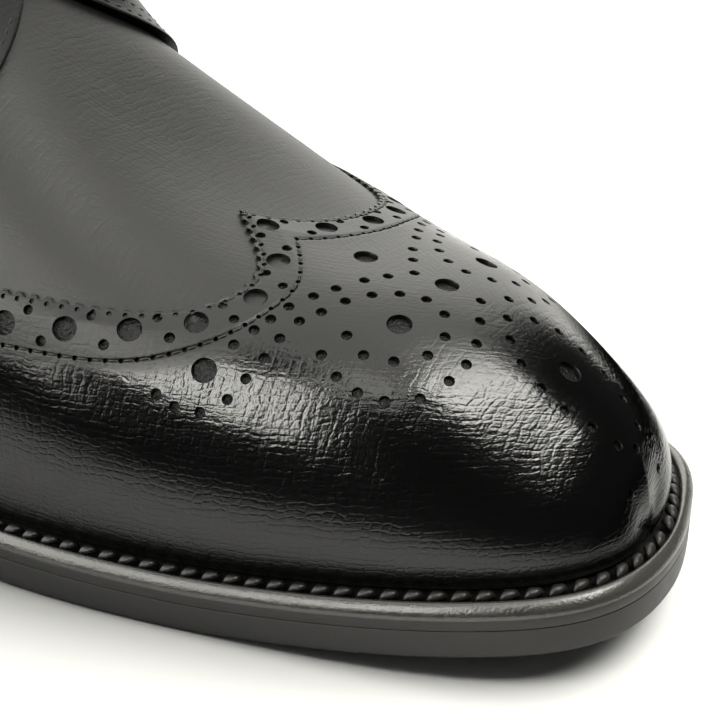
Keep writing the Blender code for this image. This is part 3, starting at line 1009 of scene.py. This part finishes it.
def tongue_skin(side):
    def place(s, t):
        angle = TONGUE_STATIONS[0] + (TONGUE_STATIONS[-1] - TONGUE_STATIONS[0]) * s
        low = np.interp(angle, TONGUE_STATIONS, TONGUE_ARCHES)
        return on_last(angle, low + (90 - low) * t, side, np.full(len(s), TONGUE_FACE))
    return place


halves = [bent_grid(60, 30, tongue_skin(side), side < 0) for side in (-1, 1)]
tongue = settled(walled(assembled("tongue_leather", halves, TONGUE_CALF), TONGUE_WALL))
dressed(tongue, "upper_leather", "tongue")


# Collar binding, rolled over the edges of flap and lining; its front end tapers

BINDING_START = FACING_TOP + 0.4
BINDING_WIDE = 2.45
BINDING_HIGH = 1.1
BINDING_TAPER = 0.02


def binding_skin(side):
    def place(s, t):
        angle = BINDING_START + (180 - BINDING_START) * s
        rim = flap_rim(angle, side)
        centre = skin(angle, rim, side, np.full(len(s), 0.05))
        across = last_normal(angle, rim, side)
        up = last(angle, rim + 0.5, side) - last(angle, rim - 0.5, side)
        up = up / np.linalg.norm(up, axis=1, keepdims=True)
        turn = 2 * math.pi * t
        taper = np.clip(s / BINDING_TAPER, 0.05, 1)
        wide = BINDING_WIDE * taper * np.cos(turn)
        high = BINDING_HIGH * taper * np.sin(turn)
        points = centre + across * wide[:, None] + up * high[:, None]
        return points, np.column_stack([angle / 40, t * 0.1])
    return place


halves = [bent_grid(120, 14, binding_skin(side), side > 0) for side in (-1, 1)]
binding = settled(assembled("collar_binding", halves, FLAP_SHADED_CALF), ROUND_CORD)
dressed(binding, "upper_leather")


# Stitched rows of flaps and counter: two behind the front edge, one below the facing and the collar

FRONT_ROWS = (0.65, 1.6)
FACING_ROW = 2.6
COLLAR_ROW = 3.2
COUNTER_ROW = 0.7
THREAD_SINK = 0.2

rows = []
for side in (-1, 1):
    front = np.linspace(6, 76, 200)
    facing = np.linspace(FACING_START + 2.5, FACING_TOP - 1, 100)
    collar = np.linspace(FACING_TOP + 2, 179, 200)
    lines = [(flap_start(front) + inset, front) for inset in FRONT_ROWS]
    lines.append((facing, flap_rim(facing, side) - FACING_ROW))
    lines.append((collar, flap_rim(collar, side) - COLLAR_ROW))
    for angle, arch in lines:
        rows = rows + row_spots(angle, arch, side, on_flap(angle, arch, side) - THREAD_SINK, STITCH_STEP)
    share = np.linspace(0.03, 0.97, 200)
    angle = counter_start(share)
    arch = counter_climb(angle, share, side)
    face = np.full(200, COUNTER_FACE - LAID_SINK)
    rows = rows + row_spots(angle + COUNTER_ROW, arch, side, face, STITCH_STEP)
dressed(scattered("quarter_stitches", thread_bead(*FLAP_STITCH), rows, THREAD), "lace_cotton")


# Laces: straight bars that dive into the eyelets

# Heights of a bar over the last where it comes up out of the eyelet, and half widths by distance from its end
LACE_DIVE = (-1.2, 0.6, 2.2, 3.3)
LACE_ENDS = ((0, 3, 6), (1.6, 1.7, LACE_WIDE))


def lace_path(angle):
    """Points of a bar from the outer to the inner eyelet; it eases from one flap's rise to the other's."""
    lows = [eyelet(angle, side) for side in (-1, 1)]
    lifts = [flap_lift(angle, low, flap_start(low), side) for low, side in zip(lows, (-1, 1))]
    share = np.concatenate([np.zeros(4), np.linspace(0, 1, 18)[1:]])
    halves = []
    for side, low, lift in zip((-1, 1), lows, lifts):
        face = np.concatenate([LACE_DIVE, np.full(17, LACE_FACE)])
        rise = lift + (sum(lifts) / 2 - lift) * ease(share)
        face = face + rise * np.clip(np.arange(21) / 3, 0, 1)
        half = skin(np.full(21, angle), low + (90 - low) * share, side, face)
        halves.append(half if side < 0 else half[::-1][1:])
    return np.concatenate(halves)


def lace_skin(angle):
    path = lace_path(angle)
    length = line_length(path)

    def place(s, t):
        at = s * length[-1]
        here = on_line(at, length, path)
        run = on_line(at + 0.6, length, path) - on_line(at - 0.6, length, path)
        run = run / np.linalg.norm(run, axis=1, keepdims=True)
        across = np.tile((1.0, 0.0, 0.0), (len(s), 1))
        across = across - run * (across * run).sum(1)[:, None]
        across = across / np.linalg.norm(across, axis=1, keepdims=True)
        lift = np.cross(run, across)
        ends = np.minimum(at, length[-1] - at)
        wide = np.interp(ends, *LACE_ENDS)
        turn = 2 * math.pi * t
        flat = np.sign(np.cos(turn)) * np.abs(np.cos(turn))**LACE_SQUARE
        points = here + across * (wide * flat)[:, None] + lift * (LACE_THICK * np.sin(turn))[:, None]
        return points, np.column_stack([at / 100, t * 0.1])
    return place


for number, angle in enumerate(EYELET_ANGLES, 1):
    cord = assembled("lace_%d" % number, [bent_grid(70, 16, lace_skin(angle))], LACE_COTTON)
    lace = settled(cord, ROUND_CORD)
    dressed(lace, "lace_cotton", "lace_bar_%d" % number)


# Sole: rings round the feather line, from the outer side's toe round the heel and back

def round_last(s):
    """Station and side of a share of the way round."""
    return 180 * (1 - np.abs(1 - 2 * s)), s > 0.5


def ring_point(s, grow_share, grow, height):
    """Point off the feather line by a share of the extension and a length, at a height over the tread."""
    angle, inner = round_last(s)
    level = np.empty((len(s), 2))
    for side, rows in ((-1, ~inner), (1, inner)):
        a = angle[rows]
        out = extension(a, side) * grow_share[rows] + grow[rows]
        level[rows] = plan(a, side) + outward(a, side) * out[:, None]
    return np.column_stack([level, ground(level[:, 0]) + height])


def swept(profile):
    """Place function of a profile swept round the last: share of the extension, length and height."""
    table = np.array(profile, float)
    knots = np.linspace(0, 1, len(table))

    def place(s, t):
        columns = [np.interp(t, knots, table[:, k]) for k in range(3)]
        return ring_point(s, *columns), np.column_stack([s * 7, t * 0.3])
    return place


def lid(grow_share, grow, height):
    """Place function of a flat face across the last from the outer to the inner side."""
    def place(s, t):
        one = np.ones(len(s))
        outer = ring_point(s / 2, one * grow_share, one * grow, one * height)
        inner = ring_point(1 - s / 2, one * grow_share, one * grow, one * height)
        return outer + (inner - outer) * t[:, None], np.column_stack([s * 3, t])
    return place


AROUND = 420

# Welt with its rounded rim and the channel that holds the stitches; its inked side meets the sole's edge
WELT_SIDE = (
    (0, -2.0, WELT_FOOT), (1, -0.03, WELT_FOOT), (1, 0, WELT_FOOT + 0.04), (1, 0, 7.2), (1, 0, 7.5))
WELT_BEAD = (
    (1, 0, 7.5), (1, 0, 7.8), (1, 0, 8.1), (0.98, 0, 8.55), (0.945, 0, 9.0), (0.905, 0, 9.4),
    (0.865, 0, 9.75), (0.825, 0, 9.98), (0.785, 0, 10.05), (0.75, 0, 9.95), (0.725, 0, 9.65), (0.71, 0, 9.2))
WELT_CHANNEL = (
    (0.71, 0, 9.2), (0.68, 0, 8.8), (0.6, 0, 8.6), (0.4, 0, 8.6), (0.2, 0, 8.8), (0.06, 0, 9.2),
    (0, -2.0, 9.5), (0, -2.0, WELT_FOOT))

welt_parts = [stuffed(bent_grid(AROUND, len(profile) - 1, swept(profile)), number)
              for number, profile in enumerate((WELT_CHANNEL, WELT_BEAD, WELT_SIDE))]
welt = assembled("welt_strip", welt_parts, WELT_LEATHER, BEAD_PAINTED_SHEEN, SOLE_EDGE_INK)
settled(welt, ROUND_RIM)
dressed(welt, "welt_leather", "welt")

# Stitches of the welt, slanted in their channel
WELT_STEP = 3.9
WELT_ROW = 0.56
WELT_ROW_HEIGHT = 9.75
WELT_SLANT = 0.5
shares = np.linspace(0.0, 1.0, 1600)
line = ring_point(shares, np.full(1600, WELT_ROW), np.zeros(1600), np.full(1600, WELT_ROW_HEIGHT))
length = line_length(line)
steps = np.arange(0, length[-1] - WELT_STEP / 2, WELT_STEP)
centres = on_line(steps, length, line)
ahead = on_line(steps + 0.5, length, line) - centres
slanted = ahead + WELT_SLANT * np.cross((0, 0, 1), ahead)
welt_spots = [stand(p, (0, 0, 1), r) for p, r in zip(centres, slanted)]
welt_thread = thread_bead(*WELT_STITCH, around=12, rings=9, ply=0.14)
dressed(scattered("welt_stitches", welt_thread, welt_spots, WELT_THREAD), "lace_cotton")


def plate(name, profile, stuff):
    """A plate in the last's outline: its swept edge, closed below and above by lids."""
    parts = [bent_grid(AROUND, len(profile) - 1, swept(profile)),
             bent_grid(AROUND // 2, 24, lid(*profile[0]), True),
             bent_grid(AROUND // 2, 24, lid(*profile[-1]))]
    return settled(assembled(name, parts, stuff))


# Outsole with eased edges, and the insole board under a lining sock
SOLE_PROFILE = (
    (1, -3.0, 0.0), (1, -0.9, 0.0), (1, -0.45, 0.06), (1, -0.15, 0.25), (1, -0.02, 0.5), (1, 0, 0.8),
    (1, 0, 3.4), (1, 0, OUTSOLE_THICK - 0.04), (1, -0.03, OUTSOLE_THICK), (0.2, 0, OUTSOLE_THICK))
SOCK_PROFILE = (
    (0, -2.4, WELT_FOOT), (0, -2.4, INSOLE_TOP - 0.5), (0, -2.8, INSOLE_TOP), (0, -4.0, INSOLE_TOP))
dressed(plate("outsole_leather", SOLE_PROFILE, SOLE_EDGE_INK), "sole_leather", "outsole")
dressed(plate("insole_sock", SOCK_PROFILE, LINING_CALF), "lining_leather", "insole")


# Heel: stacked lifts over a rubber piece

HEEL_FINE = np.linspace(90, 180, 400)
HEEL_SIDE = 0.42


def heel_edge(angle, side, shrink):
    """Outline of the sole at some stations, drawn in."""
    return plan(angle, side) + outward(angle, side) * (extension(angle, side) - shrink)[:, None]


HEEL_CORNERS = [np.interp(-HEEL_BREAST, -heel_edge(HEEL_FINE, side, 0)[:, 0], HEEL_FINE) for side in (-1, 1)]


def heel_ring(s, shrink):
    """Outline of the heel: outer side, inner side, then straight across the breast."""
    level = np.empty((len(s), 2))
    turn = np.interp(s, (0, HEEL_SIDE, 2 * HEEL_SIDE, 1), (0, 1, 2, 3))
    ways = ((turn < 1, turn), ((turn >= 1) & (turn <= 2), 2 - turn))
    breast = turn > 2
    ends = []
    for side, corner, (rows, share) in zip((-1, 1), HEEL_CORNERS, ways):
        level[rows] = heel_edge(corner + (180 - corner) * share[rows], side, shrink[rows])
        ends.append(heel_edge(np.full(breast.sum(), corner), side, shrink[breast]))
    level[breast] = ends[1] + (ends[0] - ends[1]) * (turn[breast] - 2)[:, None]
    return level


def heel_height(level, share, base):
    """Height in the heel: a base, and a share of the way from the wearing piece to the seat."""
    return base + (ground(level[:, 0]) - GAP / 2 - LIFT_THICK) * share


def heel_wall(rows):
    """Place function of the heel's side; a row gives shrink, share of the height and base, going up."""
    table = np.array(rows, float)
    knots = np.linspace(0, 1, len(table))

    def place(s, t):
        shrink, share, base = (np.interp(t, knots, table[:, k]) for k in range(3))
        level = heel_ring(s, shrink)
        points = np.column_stack([level, heel_height(level, share, base)])
        return points, np.column_stack([s * 2, t * 0.3])
    return place


def heel_lid(shrink, share, base):
    def place(s, t):
        drawn_in = np.full(len(s), shrink)
        outer = heel_ring(s * HEEL_SIDE, drawn_in)
        inner = heel_ring(2 * HEEL_SIDE - s * HEEL_SIDE, drawn_in)
        level = outer + (inner - outer) * t[:, None]
        return np.column_stack([level, heel_height(level, share, base)]), np.column_stack([s, t])
    return place


def heel_block(name, rows, stuff):
    parts = [bent_grid(220, len(rows) - 1, heel_wall(rows)),
             bent_grid(60, 16, heel_lid(*rows[0]), True),
             bent_grid(60, 16, heel_lid(*rows[-1]))]
    return settled(assembled(name, parts, stuff))


# The stack narrows downwards, with a groove between its lifts
HEEL_LIFTS = 3
GROOVE = 0.16
GROOVE_HIGH = 0.035
STACK_FOOT = LIFT_THICK + 0.05
STACK_SHRINK = (1.7, 1.3)
stack_rows = []
for lift in range(HEEL_LIFTS):
    low, high = lift / HEEL_LIFTS, (lift + 1) / HEEL_LIFTS
    shrink_low, shrink_high = (STACK_SHRINK[0] - STACK_SHRINK[1] * share for share in (low, high))
    stack_rows.append((shrink_low + GROOVE, low, STACK_FOOT))
    stack_rows.append((shrink_low, low + GROOVE_HIGH, STACK_FOOT))
    stack_rows.append((shrink_high, high - GROOVE_HIGH, STACK_FOOT))
    stack_rows.append((shrink_high + GROOVE, high, STACK_FOOT))
RUBBER_ROWS = (
    (2.6, 0, 0.0), (2.15, 0, 0.1), (2.0, 0, 0.5), (1.75, 0, LIFT_THICK - 0.25), (1.95, 0, LIFT_THICK))
dressed(heel_block("heel_lifts", stack_rows, HEEL_INK), "sole_leather", "heel_stack")
dressed(heel_block("heel_rubber", RUBBER_ROWS, LIFT_RUBBER), "lift_rubber", "heel_top_lift")


# Stage: pale floor and backdrop, black cards, studio lights and the camera, in metres

FLOOR_HALF = 1.3
BACKDROP_RADIUS = 3.5
CARD_HEIGHT = 0.001


def pale_floor():
    """Painted board: plain, matte and nearly white."""
    bm = bmesh.new()
    bmesh.ops.create_grid(bm, x_segments=1, y_segments=1, size=FLOOR_HALF)
    paint = blank("pale_floor", "#e6e6e6", 0.9)[0]
    floor = shown("floor", meshed(bm, "floor"), paint)


def pale_backdrop():
    """A pale room round the floor that only the camera sees."""
    bm = bmesh.new()
    bmesh.ops.create_uvsphere(bm, u_segments=32, v_segments=16, radius=BACKDROP_RADIUS)
    paper = blank("pale_backdrop", "#000000", 1.0, Specular_IOR_Level=0.0, Emission_Strength=1.3,
                  Emission_Color=srgb("#f6f6f4"))[0]
    backdrop = shown("backdrop", meshed(bm, "backdrop"), paper)
    backdrop.visible_diffuse = False
    backdrop.visible_glossy = False
    backdrop.visible_transmission = False
    backdrop.visible_shadow = False


def soft_light(name, place, aim, size, power):
    light = bpy.data.lights.new(name, 'AREA')
    light.shape = 'RECTANGLE'
    light.size, light.size_y = size
    light.energy = power
    light.color = srgb("#fffef7")[:3]
    made = bpy.data.objects.new(name, light)
    bpy.context.scene.collection.objects.link(made)
    made.location = place
    made.rotation_euler = (Vector(aim) - Vector(place)).to_track_quat('-Z', 'Y').to_euler()
    return made


def dark_card(corner, opposite, axis, clear, full):
    """A black card on the floor, out of the picture, that the gloss mirrors; it fades in along one axis."""
    bm = bmesh.new()
    bmesh.ops.create_grid(bm, x_segments=1, y_segments=1, size=0.5)
    for vert in bm.verts:
        across, along = vert.co.x + 0.5, vert.co.y + 0.5
        vert.co.x = corner[0] + (opposite[0] - corner[0]) * across
        vert.co.y = corner[1] + (opposite[1] - corner[1]) * along
        vert.co.z = CARD_HEIGHT
    made, tree, shader = blank("black_card", "#000000", 1.0, Specular_IOR_Level=0.0)
    place = node(tree, "ShaderNodeTexCoord").outputs["Object"]
    along = node(tree, "ShaderNodeSeparateXYZ", {0: place}).outputs[axis]
    fade = node(tree, "ShaderNodeMapRange", {"Value": along, "From Min": clear, "From Max": full},
                interpolation_type='SMOOTHSTEP').outputs[0]
    tree.links.new(fade, shader.inputs["Alpha"])
    card = shown("dark_card", meshed(bm, "dark_card"), made)
    card.visible_camera = False
    card.visible_diffuse = False
    card.visible_shadow = False


pale_floor()
pale_backdrop()
dark_card((0.0, 0.1), (1.8, 2.2), "X", 0.02, 0.1)
dark_card((0.1, -0.1), (1.8, 0.1), "X", 0.14, 0.22)
dark_card((-1.5, -2.2), (1.8, -0.08), "Y", -0.075, -0.17)

# The first four lights show in the gloss alone, and the floor's own light does not show in it
glints = (
    soft_light("overhead_box", (0.605, -0.02, 1.045), (0.605, -0.02, 0), (0.35, 0.62), 9.5),
    soft_light("near_panel", (0.3, -0.5, 1.045), (0.3, -0.5, 0), (0.35, 0.3), 1.0),
    soft_light("front_strip", (0.095, -1.01, 0.93), (0.1, 0, 0.05), (0.19, 0.7), 5.2),
    soft_light("left_panel", (-0.77, -0.66, 0.61), (0.05, 0, 0.05), (1.95, 0.9), 22.0))
for light in glints:
    light.visible_diffuse = False
soft_light("ceiling", (-0.625, 0.7, 1.7), (-0.625, 0.7, 0), (2.15, 2.6), 30.0)
soft_light("back_wall", (-1.05, 1.6, 0.8), (-1.05, 0, 0.8), (2.3, 1.7), 26.0)
floor_fill = soft_light("floor_fill", (0.75, 0.6, 1.4), (0.2, 0.05, 0), (1.2, 0.9), 42.0)
floor_fill.visible_glossy = False

world = bpy.data.worlds.new("studio")
bpy.context.scene.world = world
world.use_nodes = True
world.node_tree.nodes["Background"].inputs["Color"].default_value = srgb("#ffffff")
world.node_tree.nodes["Background"].inputs["Strength"].default_value = 0.03
bpy.context.scene.view_settings.view_transform = 'Standard'

# Camera at the photograph's angle, in degrees and millimetres on the last
CAMERA_TURN = 32.205
CAMERA_RISE = 26.936
CAMERA_ROLL = 0.269
CAMERA_EYE = (367.6, -203.84, 159.01)
CAMERA_LENS = 76.13

turn, rise, roll = (math.radians(x) for x in (CAMERA_TURN, CAMERA_RISE, CAMERA_ROLL))
back = Vector((math.sin(turn) * math.cos(rise), -math.cos(turn) * math.cos(rise), math.sin(rise)))
right = Vector((math.cos(turn), math.sin(turn), 0))
over = back.cross(right)
right, over = right * math.cos(roll) + over * math.sin(roll), over * math.cos(roll) - right * math.sin(roll)
camera = bpy.data.objects.new("camera", bpy.data.cameras.new("camera"))
bpy.context.scene.collection.objects.link(camera)
camera.data.lens = CAMERA_LENS
camera.data.sensor_width = 36.0
camera.data.clip_start = 0.01
facing = Matrix((right, over, back)).transposed().to_4x4()
camera.matrix_world = Matrix.Translation(Vector(placed(CAMERA_EYE))) @ facing
bpy.context.scene.camera = camera
